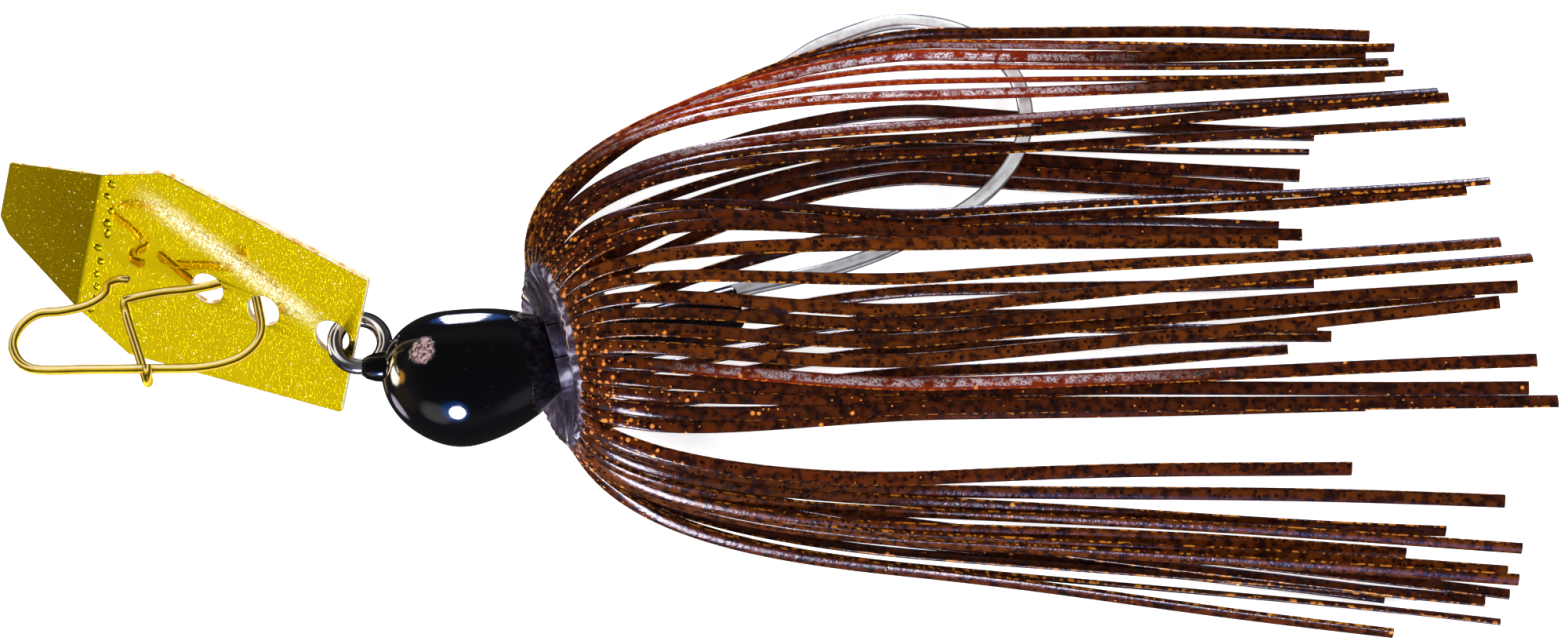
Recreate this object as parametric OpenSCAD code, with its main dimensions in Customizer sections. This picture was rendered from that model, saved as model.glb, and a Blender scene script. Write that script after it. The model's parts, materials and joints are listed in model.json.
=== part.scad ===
// Vibrating-blade bass lure, lying on its side on a table.
// +X runs from the nose to the skirt's tips, +Y towards the hook's bend, and +Z is up.

/* [Stance] */
// Height of the head ball's centre above the table
ball_z = 10.85; // [10.8:0.05:12]
// Lean of the hook's plane, which brings the bend down to the table
hook_lean = 18.7; // [16:0.1:19]
// Rise of the head's axis towards the hook's bend, in the hook's plane
head_rise = 15.5; // [14:0.5:17]
// Rise of the nose's tip towards the hook's bend, in the hook's plane
nose_rise = 15.8; // [12:0.2:18]

/* [Head] */
// Radius of the ball
ball_r = 5.7; // [5.4:0.1:5.9]
// Length of the nose ahead of the ball's centre
nose_len = 6.8; // [6.4:0.1:7.2]
// Distance from the ball's centre to the back of the head
back_t = 7.6; // [7.4:0.1:7.8]
// Radius at the back of the head
back_r = 3.5; // [3.4:0.1:3.8]
// Radius of the seat under the skirt
seat_r = 3; // [2.6:0.1:3]
// Distance from the ball's centre to the end of the trailer keeper
keeper_end = 24.2; // [22:0.1:26]
// Radius of the trailer keeper
keeper_r = 1.85; // [1.6:0.05:2]

/* [Hook] */
// Diameter of the hook's wire
hook_d = 1.3; // [1.2:0.05:1.3]
// Mean radius of the eye
eye_r = 2.1; // [2.1:0.05:2.2]

/* [Skirt] */
// Radius at which the tabs fold back
rim_r = 7.6; // [7.2:0.1:8]
// Lean of the flared rim to the head's axis, with its upper side back
rim_lean = 9; // [7:1:11]
// Width of one strand
strand_w = 1.0; // [0.8:0.05:1]
// Thickness of one strand
strand_t = 0.6; // [0.5:0.05:0.7]

/* [Blade] */
// Thickness of the plate
plate_t = 0.6; // [0.5:0.05:0.7]
// Length from the hook hole to the fold
fold_len = 22.2; // [21:0.1:23]
// Length of the bent front flange
flange_len = 9; // [8:0.1:10]
// Angle of the flange to the plate
flange_bend = 12; // [8:1:16]
// Half width across the hips
hip_half = 9.75; // [9:0.05:10.5]
// Diameter of the two snap holes
snap_hole_d = 2.7; // [2.7:0.1:3.1]

/* [Snap] */
// Diameter of the snap's wire
snap_d = 0.8; // [0.7:0.05:0.85]

/* [Hidden] */
$fn = 48;
SWEEP_SIDES = 10;
// Moves the part so that the origin is under the middle of its box
ORIGIN_SHIFT = [-26.55, -4.48, 0];

// --- curves and frames ---
function unit(v) = v / norm(v);
// One point of a smooth curve through the points of p, at parameter u from 0 to len(p) - 1
function curve_at(p, u) =
    let (i = min(floor(u), len(p) - 2), f = u - i,
         a = p[max(i - 1, 0)], b = p[i], c = p[i + 1], d = p[min(i + 2, len(p) - 1)])
    0.5 * (2 * b + (c - a) * f + (2 * a - 5 * b + 4 * c - d) * f * f
           + (3 * b - 3 * c + d - a) * f * f * f);
function smooth(p, steps) = [for (j = [0 : (len(p) - 1) * steps]) curve_at(p, j / steps)];
function arc(c, r, from, to, steps) =
    [for (j = [0 : steps]) let (a = from + (to - from) * j / steps) c + r * [cos(a), sin(a), 0]];
function bezier(a, b, c, d, u) =
    pow(1 - u, 3) * a + 3 * pow(1 - u, 2) * u * b + 3 * (1 - u) * u * u * c + pow(u, 3) * d;
function tangents(p) =
    [for (i = [0 : len(p) - 1]) unit(p[min(i + 1, len(p) - 1)] - p[max(i - 1, 0)])];
// A normal for each point, carried along the curve without twist
function carry(t, u, i = 0, out = []) =
    i == len(t) ? out : let (v = unit(u - (u * t[i]) * t[i])) carry(t, v, i + 1, concat(out, [v]));

// A round wire of radius r[i] at each point p[i]
module wire(p, r) {
    t = tangents(p);
    u = carry(t, [0, 0, 1]);
    n = SWEEP_SIDES;
    rings = len(p);
    points = [for (i = [0 : rings - 1], k = [0 : n - 1])
        let (w = cross(t[i], u[i]), a = 360 * k / n) p[i] + r[i] * (cos(a) * u[i] + sin(a) * w)];
    sides = [for (i = [0 : rings - 2], k = [0 : n - 1])
        [i * n + k, (i + 1) * n + k, (i + 1) * n + (k + 1) % n, i * n + (k + 1) % n]];
    start = [[for (k = [0 : n - 1]) k]];
    end = [[for (k = [n - 1 : -1 : 0]) (rings - 1) * n + k]];
    polyhedron(points, concat(start, sides, end), convexity = 10);
}

// --- placing ---
// The hook's plane: its own X along the lure, Y towards the bend, Z across the plane
module in_hook_plane() {
    translate(ORIGIN_SHIFT + [0, 0, ball_z]) rotate([-hook_lean, 0, 0]) children();
}
// The head's axis: its own Z runs from the ball's centre to the tail
module on_head_axis() {
    in_hook_plane() rotate([0, 0, head_rise]) rotate([0, 90, 0]) children();
}

// --- hook ---
EYE_C = [-8.6, 3.2, 0];
EYE_FROM = -30;
EYE_TO = 250;
EYE_STEPS = 28;
// Where the straight wire behind the eye starts and ends, along it
NECK = [0.8, 4];
// The wire's middle line behind the eye: through the lead, along the shank and round the bend
SHANK = [[0, 0.6, 0], [8, 3.0, 0], [16, 5.6, 0], [23.8, 8.0, 0], [31.6, 9.9, 0], [38, 12.6, 0]];
BEND = [[44.2, 16.6, 0], [47.3, 21.6, 0], [46.7, 26.8, 0], [42.6, 30.8, 0], [36.6, 31.9, 0]];
POINT = [[30.7, 30.1, 0], [27.6, 28.5, 0], [24.4, 26.7, 0]];
// The wire narrows over its last steps, down to this share of its radius
TAPER_STEPS = 8;
TIP_SHARE = 0.06;
// The barb's places and diameters, from its base to its tip
BARB = [[[29.2, 28.9, 0], 0.9], [[30.6, 29.3, 0], 0.7], [[32.6, 29, 0], 0.12]];
module hook() color([0.78, 0.79, 0.82]) in_hook_plane() {
    eye = arc(EYE_C, eye_r, EYE_FROM, EYE_TO, EYE_STEPS);
    eye_end = eye[EYE_STEPS];
    leave = [-sin(EYE_TO), cos(EYE_TO), 0];
    neck = [for (d = NECK) eye_end + d * leave];
    path = concat(eye, smooth(concat(neck, SHANK, BEND, POINT), 4));
    last = len(path) - 1;
    wire(path, [for (i = [0 : last]) hook_d / 2 * max(TIP_SHARE, min(1, (last - i) / TAPER_STEPS))]);
    hull() for (b = BARB) translate(b[0]) sphere(d = b[1], $fn = 16);
}

// --- head ---
SEAT_END = 13.6;
// The ridge that keeps the skirt on its seat, as [radius over the seat's, distance past the seat]
RIDGE = [[0.5, 0.2], [0.3, 0.8]];
RIDGE_FOOT = 1.4;
KEEPER_ROUND = 0.3;
BALL_SIDES = 48;
NOSE_STEPS = 14;
BACK_STEPS = 7;
// The nose's direction on the head's own axes
NOSE_DIR = [0, sin(head_rise + nose_rise), -cos(head_rise + nose_rise)];
// A ball's surface drawn out to the length of the nose on the side that faces the nose's direction
function drawn_out(p) = let (c = max(0, unit(p) * NOSE_DIR))
    p / sqrt(1 - c * c + pow(c * ball_r / nose_len, 2));
module ball() {
    front = [for (i = [1 : NOSE_STEPS]) let (a = -90 + 90 * i / NOSE_STEPS) ball_r * [cos(a), sin(a)]];
    back = [for (i = [1 : BACK_STEPS]) let (f = i / BACK_STEPS)
        [ball_r - (ball_r - back_r) * f * f, back_t * f]];
    outline = concat(front, back);
    n = BALL_SIDES;
    last = len(outline) - 1;
    points = concat([drawn_out([0, 0, -ball_r])], [for (p = outline, k = [0 : n - 1])
        drawn_out([p.x * cos(360 * k / n), p.x * sin(360 * k / n), p.y])]);
    tip = [for (k = [0 : n - 1]) [0, 1 + k, 1 + (k + 1) % n]];
    sides = [for (i = [0 : last - 1], k = [0 : n - 1]) let (u = 1 + i * n, m = (k + 1) % n)
        [[u + k, u + n + k, u + m], [u + m, u + n + k, u + n + m]]];
    end = [[for (k = [n - 1 : -1 : 0]) 1 + last * n + k]];
    polyhedron(points, concat(tip, [for (pair = sides) each pair], end), convexity = 10);
}
module head() color([0.03, 0.03, 0.035]) on_head_axis() {
    ball();
    rotate_extrude() polygon([[0, 0], [seat_r, 0], [seat_r, SEAT_END],
        for (p = RIDGE) [seat_r + p.x, SEAT_END + p.y],
        [keeper_r, SEAT_END + RIDGE_FOOT], [keeper_r, keeper_end - KEEPER_ROUND],
        [keeper_r - KEEPER_ROUND, keeper_end], [0, keeper_end]]);
}

// --- skirt ---
// Each tab: turn round the axis from the hook's side, how far its strands bow out, and their heights
// above the table at the waist and at the tips. Then how far across they lie at the waist, and their
// tips as seen from above
TABS = [
    [0, 13.5, 5.6, 2.6, [29.2, 28.4, 27.4, 26.3, 25.1, 24],
     [[76.6, 28.9], [78.7, 28], [76.3, 27.3], [78.2, 26.8], [79.5, 26.1], [77.9, 25.5]]],
    [45, 10, 9.8, 4.4, [21.5, 20.4, 19.2, 13.9, 13.1, 12.2],
     [[82.3, 24.2], [83.2, 23.6], [84.6, 21.7], [86.7, 17], [84.7, 15.9], [70.8, 12.2]]],
    [90, 7, 12.6, 5.6, [11.2, 8.4, 5.9, 4.6, 3.4, 1.8],
     [[68.7, 11.5], [87.5, 11.7], [90.2, 10.5], [88.9, 7.8], [85.3, 7.3], [87.4, 6.3]]],
    [135, 7, 10.6, 4.2, [-0.2, -1, -1.8, -2.4, -3, -8.4],
     [[90.7, 1.3], [90, -0.6], [87.4, -1.7], [92.5, -2], [76.2, -2.3], [75, -7.4]]],
    [180, 6, 7.4, 2.8, [-9.3, -10.3, -11.4, -12.7, -13.4, -14],
     [[88.1, -10.6], [83.1, -13.1], [89.5, -14.3], [79.7, -14.8], [88.3, -16.2], [89.2, -17]]],
    [225, 9, 3, 0.9, [-16.8, -16.1, -14.9, -14.1, -13.2, -12.6],
     [[78.7, -21.4], [87.8, -20.8], [86.5, -18.9], [78, -18.6], [80.7, -18.4], [88.6, -18.1]]],
    [270, 6, 0.9, 0.3, [-1.4, 0.8, 2.6, 4.2, 5.4, 7.4],
     [[74.5, -0.7], [69.8, 2.2], [73.5, 3.5], [72.3, 4], [70, 5.6], [72, 8.2]]],
    [315, 12, 1.3, 0.8, [12.9, 17, 18, 18.7, 19.9, 22.7],
     [[69, 13.1], [68.5, 15.2], [69.4, 16.2], [70.8, 17.2], [71.6, 19], [72, 20.6]]],
];
TAB_SPAN = 360 / len(TABS);
// Angles left free between neighbouring tabs: at the flare, along the sleeve and at the strands' roots
FLARE_GAP = 1;
SLEEVE_GAP = 17;
ROOT_GAP = 3;
// Distance from the ball's centre to the rim, and the flare's outline round the leaning axis there
RIM_T = 8.2;
FLARE = [[seat_r + 0.5, 0.1], [rim_r - 0.4, -0.5], [rim_r + 0.3, -0.2], [rim_r + 0.3, 0.4],
         [seat_r + 0.5, 1.1]];
// The sleeve round the seat, as an outline of [radius, distance from the ball's centre]
SLEEVE_OUT = seat_r + 0.8;
SLEEVE_FROM = back_t + 0.1;
SLEEVE_TO = SEAT_END - 0.1;
SLEEVE = [[seat_r + 0.1, SLEEVE_FROM], [SLEEVE_OUT + 0.1, SLEEVE_FROM], [SLEEVE_OUT, SLEEVE_TO],
          [seat_r + 0.1, SLEEVE_TO]];
SLICES = 4;
SLICE_T = 0.02;
// The band's middle, its half thickness and the clearance to the sleeve
BAND_T = 12.65;
BAND_R = 0.45;
BAND_GAP = 0.1;
STRANDS = 6;
BOW_STEPS = 8;
// A strand's rings stand closer together at its root
ROOT_DENSITY = 1.3;
ROOT_INSET = [0.2, 0.1];
// How far a bowing strand runs back for each millimetre that it bows out
SWEEP_BACK = 0.6;
// The waist, where a strand's bow ends: its distance along the lure, and how far before it the strand
// has turned towards its tip
WAIST_X = 40;
LEAD = 11;
LOWEST_Z = 0.3;

module skirt_band() color([0.15, 0.14, 0.14]) on_head_axis()
    rotate_extrude() translate([SLEEVE_OUT + BAND_GAP + BAND_R, BAND_T])
        scale([1, 1.5]) circle(r = BAND_R);

// The head's axis, the direction across it towards the bend, and the normal of the hook's plane
AXIS = [cos(head_rise), sin(head_rise) * cos(hook_lean), -sin(head_rise) * sin(hook_lean)];
ACROSS = [-sin(head_rise), cos(head_rise) * cos(hook_lean), -cos(head_rise) * sin(hook_lean)];
UP = [0, sin(hook_lean), cos(hook_lean)];
// The outward direction in the leaning rim, `turn` degrees round from the bend's side
function radial(turn) = cos(turn) * ACROSS + sin(turn) * (cos(rim_lean) * UP + sin(rim_lean) * AXIS);
function above(p) = [p.x, p.y, max(p.z, LOWEST_Z)];
function strand_path(tab, s) =
    let (turn = tab[0] + (s - (STRANDS - 1) / 2) * (TAB_SPAN - ROOT_GAP) / STRANDS,
         bow = tab[1],
         waist = [WAIST_X, tab[4][s], tab[2]],
         tip = [tab[5][s].x, tab[5][s].y, tab[3]],
         root = [0, 0, ball_z] + (RIM_T - ROOT_INSET.y) * AXIS + (rim_r - ROOT_INSET.x) * radial(turn),
         out = above(root + bow * radial(turn) + SWEEP_BACK * bow * abs(sin(turn)) * AXIS),
         lead = waist - LEAD / (tip.x - waist.x) * (tip - waist))
    [for (i = [0 : BOW_STEPS]) bezier(root, out, lead, waist, pow(i / BOW_STEPS, ROOT_DENSITY)), tip];

// A flat strand along path, lying with its width level
module strand(path) {
    t = tangents(path);
    points = [for (i = [0 : len(path) - 1], c = [[-1, -1], [1, -1], [1, 1], [-1, 1]])
        let (w = unit(cross([0, 0, 1], t[i])), n = cross(t[i], w))
        path[i] + c.x * strand_w / 2 * w + c.y * strand_t / 2 * n];
    sides = [for (i = [0 : len(path) - 2], k = [0 : 3])
        [i * 4 + k, (i + 1) * 4 + k, (i + 1) * 4 + (k + 1) % 4, i * 4 + (k + 1) % 4]];
    last = 4 * (len(path) - 1);
    polyhedron(points, concat([[0, 1, 2, 3]], sides, [[last + 3, last + 2, last + 1, last]]),
               convexity = 10);
}
// A sector of a turned wall, `span` degrees wide, from an outline of [radius, distance along the axis]
module sector(outline, middle, span) {
    from = 90 + middle - span / 2;
    for (i = [0 : SLICES - 1]) hull()
        for (j = [i, i + 1]) rotate([0, 0, from + span * j / SLICES])
            rotate([90, 0, 0]) linear_extrude(SLICE_T) polygon(outline);
}
module skirt_tab(k) {
    tab = TABS[k - 1];
    color(k % 2 == 0 ? [0.36, 0.17, 0.06] : [0.25, 0.12, 0.1]) union() {
        on_head_axis() {
            translate([0, 0, RIM_T]) rotate([0, rim_lean, 0]) sector(FLARE, tab[0], TAB_SPAN - FLARE_GAP);
            sector(SLEEVE, tab[0], TAB_SPAN - SLEEVE_GAP);
        }
        translate(ORIGIN_SHIFT) for (s = [0 : STRANDS - 1]) strand(strand_path(tab, s));
    }
}

// --- blade ---
// The eye's wire passes through the blade's rear hole at the eye's front
EYE_WIRE = EYE_C - [eye_r, 0, 0];
// From that wire to the middle of the hole, in the hook's plane
HOLE_OFFSET = [-0.48, 0.76, -0.09];
BLADE_TURN = [37.5, -11, -21.5];
HOOK_HOLE_D = 2.9;
// The middle of the hook's hole from the plate's origin
HOOK_HOLE_AT = [0.25, -0.1];
HIP_LEN = 16.9;
REAR_LEN = 2.6;
REAR_HALF = 7.1;
FOLD_HALF = 7.15;
FRONT_HALF = 3.3;
SNAP_HOLES = [6, 11.2];
// The flange reaches this far into the plate, and one front corner is cut off
FOLD_LAP = 0.06;
FRONT_CUT = [1.1, 0.8, 0.5];
function in_table(p) = [p.x, p.y * cos(hook_lean) + p.z * sin(hook_lean),
                        ball_z - p.y * sin(hook_lean) + p.z * cos(hook_lean)];
module on_blade() {
    translate(ORIGIN_SHIFT + in_table(EYE_WIRE + HOLE_OFFSET)) rotate(BLADE_TURN) children();
}
module blade() color([0.78, 0.66, 0.1]) on_blade() difference() {
    union() {
        translate([0, 0, -plate_t / 2]) linear_extrude(plate_t)
            polygon([[REAR_LEN, -REAR_HALF], [REAR_LEN, REAR_HALF], [-HIP_LEN, hip_half],
                     [-fold_len, FOLD_HALF], [-fold_len, -FOLD_HALF], [-HIP_LEN, -hip_half]]);
        translate([-fold_len, 0, 0]) rotate([0, -flange_bend, 0])
            translate([0, 0, -plate_t / 2]) linear_extrude(plate_t)
                polygon([[FOLD_LAP, -FOLD_HALF], [FOLD_LAP, FOLD_HALF], [-flange_len, FRONT_HALF],
                         [-flange_len, -FRONT_HALF + FRONT_CUT[1]],
                         [-flange_len + FRONT_CUT[0], -FRONT_HALF - FRONT_CUT[2]]]);
    }
    translate(HOOK_HOLE_AT) cylinder(d = HOOK_HOLE_D, h = 3 * plate_t, center = true);
    for (x = SNAP_HOLES) translate([-x, 0, 0]) cylinder(d = snap_hole_d, h = 3 * plate_t, center = true);
}

// --- snap ---
// Its own X runs along the blade to the rear and its Y stands off the plate
SNAP_LEAN = 18;
SNAP_AT = -10.5;
ARM = [[-7.1, 1.9, 0.6], [-8, 2.3, 0.7], [-8.5, 3.3, 0.5], [-8.2, 4.4, 0.1], [-8.5, 5.5, 0]];
LOOP = [[-9.3, 6.6, 0], [-10.7, 7.8, 0], [-12.4, 9, 0], [-13.1, 11.1, 0], [-12.5, 13.2, 0], [-10.3, 14.2, 0]];
RUN = [[-5.9, 12.1, 0], [-1.8, 10, 0], [2.2, 7.9, 0], [4.4, 6, 0], [5.3, 4.2, 0], [5.3, 2.4, 0],
       [4.3, 0.6, 0]];
BACK = [[2.7, -1.3, 0], [0.7, -1.2, 0], [-0.8, 0, 0], [-2.2, 1.1, 0], [-4, 2.3, 0], [-5.9, 3.9, 0]];
LATCH = [[-6.4, 4.4, 0.2], [-6, 5, 0.7], [-5.2, 6, 0.9], [-3.4, 8.1, 0.9], [-1.5, 10.4, 0.85],
         [-1.1, 10.9, 0.3], [-1.3, 10.7, -0.6], [-1.6, 10.2, -0.8]];
module snap() color([0.8, 0.6, 0.12]) on_blade() translate([SNAP_AT, 0, 0])
    rotate([90 + SNAP_LEAN, 0, 0]) {
        path = smooth(concat(ARM, LOOP, RUN, BACK, LATCH), 3);
        wire(path, [for (p = path) snap_d / 2]);
    }

hook();
head();
skirt_band();
blade();
snap();
for (k = [1 : len(TABS)])
    skirt_tab(k);
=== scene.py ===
"""Looks of the vibrating-blade lure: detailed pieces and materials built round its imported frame."""
import json
import math
import random

import bpy
import bmesh
from mathutils import Euler, Matrix, Vector, noise


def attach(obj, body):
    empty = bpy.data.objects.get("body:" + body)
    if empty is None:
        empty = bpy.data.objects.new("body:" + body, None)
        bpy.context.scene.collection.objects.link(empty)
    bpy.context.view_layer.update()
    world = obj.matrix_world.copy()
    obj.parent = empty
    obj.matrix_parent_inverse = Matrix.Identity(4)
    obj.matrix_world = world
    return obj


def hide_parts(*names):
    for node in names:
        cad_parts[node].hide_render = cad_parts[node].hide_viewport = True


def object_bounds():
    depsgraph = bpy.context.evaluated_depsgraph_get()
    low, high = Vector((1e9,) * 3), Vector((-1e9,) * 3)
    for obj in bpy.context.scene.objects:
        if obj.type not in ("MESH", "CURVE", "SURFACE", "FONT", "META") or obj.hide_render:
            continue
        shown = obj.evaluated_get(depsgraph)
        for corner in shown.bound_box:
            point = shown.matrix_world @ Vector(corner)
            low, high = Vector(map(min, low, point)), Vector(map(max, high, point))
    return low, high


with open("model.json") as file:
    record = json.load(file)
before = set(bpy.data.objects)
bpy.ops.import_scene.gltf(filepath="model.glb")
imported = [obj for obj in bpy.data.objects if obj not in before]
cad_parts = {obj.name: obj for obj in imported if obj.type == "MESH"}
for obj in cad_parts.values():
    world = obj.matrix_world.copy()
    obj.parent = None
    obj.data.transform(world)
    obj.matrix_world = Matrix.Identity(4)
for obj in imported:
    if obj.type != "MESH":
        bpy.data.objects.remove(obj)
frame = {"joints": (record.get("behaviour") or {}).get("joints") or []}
cad_box = [list(corner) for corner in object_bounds()]
low, high = (Vector(corner) for corner in cad_box)

MM = 0.001
JOINTS = {joint["name"]: joint for joint in frame["joints"]}
Z_UP = Vector((0, 0, 1))

# ---------------------------------------------------------------- the camera and the studio

CAMERA_DISTANCE = 1.0
# The camera looks straight down at the height where most of the lure lies
FOCUS_HEIGHT = 8 * MM
VIEW_WIDTH = 132 * MM
VIEW_CENTRE = ((low.x + high.x) / 2 + 0.5 * MM, (low.y + high.y) / 2 + 0.43 * MM)


def make_camera():
    """A long lens straight above the lure, with the hook's bend at the top of the picture."""
    data = bpy.data.cameras.new("camera")
    data.sensor_width = 36
    data.lens = data.sensor_width * CAMERA_DISTANCE / VIEW_WIDTH
    data.clip_start = 0.05
    data.clip_end = 20
    camera = bpy.data.objects.new("camera", data)
    camera.location = (*VIEW_CENTRE, FOCUS_HEIGHT + CAMERA_DISTANCE)
    bpy.context.scene.collection.objects.link(camera)
    bpy.context.scene.camera = camera


# ---------------------------------------------------------------- small node helpers

class Nodes:
    """The node tree of a material or a world, with short calls that add nodes and wire them."""

    def __init__(self, owner):
        self.owner = owner
        owner.use_nodes = True
        self.tree = owner.node_tree
        self.tree.nodes.clear()

    def add(self, kind, inputs=None, **settings):
        node = self.tree.nodes.new(kind)
        for key, value in settings.items():
            setattr(node, key, value)
        for key, value in (inputs or {}).items():
            self.put(node.inputs[key], value)
        return node

    def put(self, socket, value):
        if isinstance(value, bpy.types.NodeSocket):
            self.tree.links.new(value, socket)
        elif isinstance(value, (tuple, list)) and len(value) == 3 and socket.type == "RGBA":
            socket.default_value = (*value, 1)
        else:
            socket.default_value = value

    def math(self, operation, a, b=0.0, clamp=False):
        return self.add("ShaderNodeMath", {0: a, 1: b}, operation=operation, use_clamp=clamp).outputs[0]

    def mix(self, factor, a, b):
        node = self.add("ShaderNodeMix", data_type="RGBA")
        self.put(node.inputs["Factor"], factor)
        self.put(node.inputs["A"], a)
        self.put(node.inputs["B"], b)
        return node.outputs["Result"]

    def ramp(self, factor, *stops):
        """A colour or a grey that changes with factor, from (position, colour or grey) stops."""
        node = self.add("ShaderNodeValToRGB", {"Fac": factor})
        elements = node.color_ramp.elements
        while len(elements) < len(stops):
            elements.new(0.5)
        for element, (position, colour) in zip(elements, stops):
            element.position = position
            element.color = (*colour, 1) if isinstance(colour, tuple) else (colour, colour, colour, 1)
        return node.outputs["Color"]

    def place(self):
        """A point of the piece, in metres."""
        return self.add("ShaderNodeTexCoord").outputs["Object"]

    def dot(self, vector, direction):
        inputs = {0: vector, 1: tuple(direction)}
        return self.add("ShaderNodeVectorMath", inputs, operation="DOT_PRODUCT").outputs["Value"]

    def facing(self, direction):
        """1 where the piece's own surface faces the direction, 0 where it is square to it."""
        return self.dot(self.add("ShaderNodeTexCoord").outputs["Normal"], direction)

    def tint(self, colour, shade):
        inputs = {0: colour, 1: shade}
        return self.add("ShaderNodeVectorMath", inputs, operation="MULTIPLY").outputs[0]

    def between(self, value, from_value, to_value):
        """0 at or before from_value, 1 at or past to_value, and smooth between them."""
        inputs = {"Value": value, "From Min": from_value, "From Max": to_value}
        return self.add("ShaderNodeMapRange", inputs, interpolation_type="SMOOTHSTEP").outputs[0]

    def noise(self, size, detail=2.0, roughness=0.5):
        """Noise whose blobs are about size across."""
        inputs = {"Vector": self.place(), "Scale": 1 / size, "Detail": detail, "Roughness": roughness}
        return self.add("ShaderNodeTexNoise", inputs).outputs["Fac"]

    def cells(self, size):
        """Cells about size across, each with a random colour and the distance from its middle."""
        return self.add("ShaderNodeTexVoronoi", {"Vector": self.place(), "Scale": 1 / size})

    def attribute(self, name):
        return self.add("ShaderNodeAttribute", attribute_name=name).outputs["Fac"]

    def bump(self, height, distance, strength=1.0, normal=None):
        inputs = {"Height": height, "Distance": distance, "Strength": strength}
        if normal is not None:
            inputs["Normal"] = normal
        return self.add("ShaderNodeBump", inputs).outputs["Normal"]

    def finish(self, **inputs):
        """The surface shader, given by its inputs' names with _ for a space."""
        shader = self.add("ShaderNodeBsdfPrincipled")
        for key, value in inputs.items():
            self.put(shader.inputs[key.replace("_", " ")], value)
        return self.output(shader.outputs[0])

    def output(self, surface):
        self.add("ShaderNodeOutputMaterial", {"Surface": surface})
        return self.owner


def material_nodes(name):
    return Nodes(bpy.data.materials.new(name))


# ---------------------------------------------------------------- the studio's floor, lights and sky

FLOOR_HALF = 3.0
FLOOR_Z = -0.02 * MM
FLOOR_GLOW = 0.72


def make_floor():
    """A plain white floor that glows a little, as a light table does."""
    mesh = bpy.data.meshes.new("floor")
    corners = [(x * FLOOR_HALF, y * FLOOR_HALF, 0) for x, y in ((-1, -1), (1, -1), (1, 1), (-1, 1))]
    mesh.from_pydata(corners, [], [(0, 1, 2, 3)])
    floor = bpy.data.objects.new("floor", mesh)
    floor.location.z = FLOOR_Z
    bpy.context.scene.collection.objects.link(floor)
    nodes = material_nodes("floor_white")
    mesh.materials.append(nodes.finish(Base_Color=(0.9, 0.9, 0.9), Roughness=0.9,
                                       Emission_Color=(1.0, 1.0, 1.0), Emission_Strength=FLOOR_GLOW))
    # Polished faces that look down mirror the room's patches below the horizon, not the white floor
    floor.visible_glossy = False
    floor.visible_shadow = False


def toward(azimuth, elevation):
    """The direction of a light; azimuth 0 is +X and 90 is +Y."""
    a, e = math.radians(azimuth), math.radians(elevation)
    return Vector((math.cos(a) * math.cos(e), math.sin(a) * math.cos(e), math.sin(e)))


LIGHT_DISTANCE = 0.6


def area_light(name, azimuth, elevation, size, power, colour=(1, 1, 1), mirrored=True):
    """A soft light that faces the lure from a direction; one that isn't mirrored makes no highlight."""
    data = bpy.data.lights.new(name, "AREA")
    data.shape = "DISK"
    data.size = size
    data.energy = power
    data.color = colour
    light = bpy.data.objects.new(name, data)
    away = toward(azimuth, elevation)
    light.location = away * LIGHT_DISTANCE
    light.rotation_euler = away.to_track_quat("Z", "Y").to_euler()
    light.visible_glossy = mirrored
    bpy.context.scene.collection.objects.link(light)


def make_lights():
    area_light("key_front", 261, 31, 0.26, 4.6, (0.93, 0.96, 1.0))
    area_light("fill_left", 178, 20, 0.2, 1.0, (1.0, 0.88, 0.76), mirrored=False)
    area_light("fill_back", 82, 32, 0.3, 2.6, (0.95, 0.97, 1.0), mirrored=False)
    area_light("fill_right", 15, 50, 0.3, 2.4, mirrored=False)


# The room's brightness by height, from straight down (0) to straight up (1)
ROOM = [(0.0, 0.02), (0.45, 0.04), (0.52, 0.08), (0.62, 0.09), (0.75, 0.04), (0.9, 0.03), (1.0, 0.03)]
# Bright patches that polished faces mirror: azimuth, elevation, radius of the core and of the edge
# (degrees), and colour
PATCHES = [
    (238, 15, 8, 22, (0.58, 0.58, 0.58)),
    (95, -22, 3, 7, (13, 13, 16)),
    (95, -30, 4, 8, (16, 16, 19)),
    (95, -39, 3, 7, (11, 12, 16)),
    (95, -30, 9, 16, (0.06, 0.30, 1.2)),
    (261, 31, 13, 23, (0.05, 0.55, 2.6)),
    (181, -14, 7, 13, (14, 12, 10)),
    (182, 0, 4, 10, (5.0, 2.0, 0.12)),
    (212, -38, 5, 11, (2.0, 1.7, 2.3)),
    (205, -8, 5, 22, (0.10, 0.066, 0.016)),
    (320, 5, 4, 22, (0.14, 0.14, 0.17)),
]


def make_sky():
    """The room round the light table, with the patches of light in it."""
    world = bpy.data.worlds.new("room")
    bpy.context.scene.world = world
    nodes = Nodes(world)
    direction = nodes.add("ShaderNodeTexCoord").outputs["Generated"]
    height = nodes.math("MULTIPLY_ADD", nodes.dot(direction, Z_UP), 0.5)
    height.node.inputs[2].default_value = 0.5
    light = nodes.ramp(height, *ROOM)
    for azimuth, elevation, core, edge, colour in PATCHES:
        near = nodes.between(nodes.dot(direction, toward(azimuth, elevation)),
                             math.cos(math.radians(edge)), math.cos(math.radians(core)))
        scaled = {0: colour, "Scale": near}
        glow = nodes.add("ShaderNodeVectorMath", scaled, operation="SCALE").outputs[0]
        light = nodes.add("ShaderNodeVectorMath", {0: light, 1: glow}, operation="ADD").outputs[0]
    background = nodes.add("ShaderNodeBackground", {"Color": light})
    nodes.add("ShaderNodeOutputWorld", {"Surface": background.outputs[0]})
    bpy.context.scene.view_settings.view_transform = "Standard"


# ---------------------------------------------------------------- curves and meshes

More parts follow.
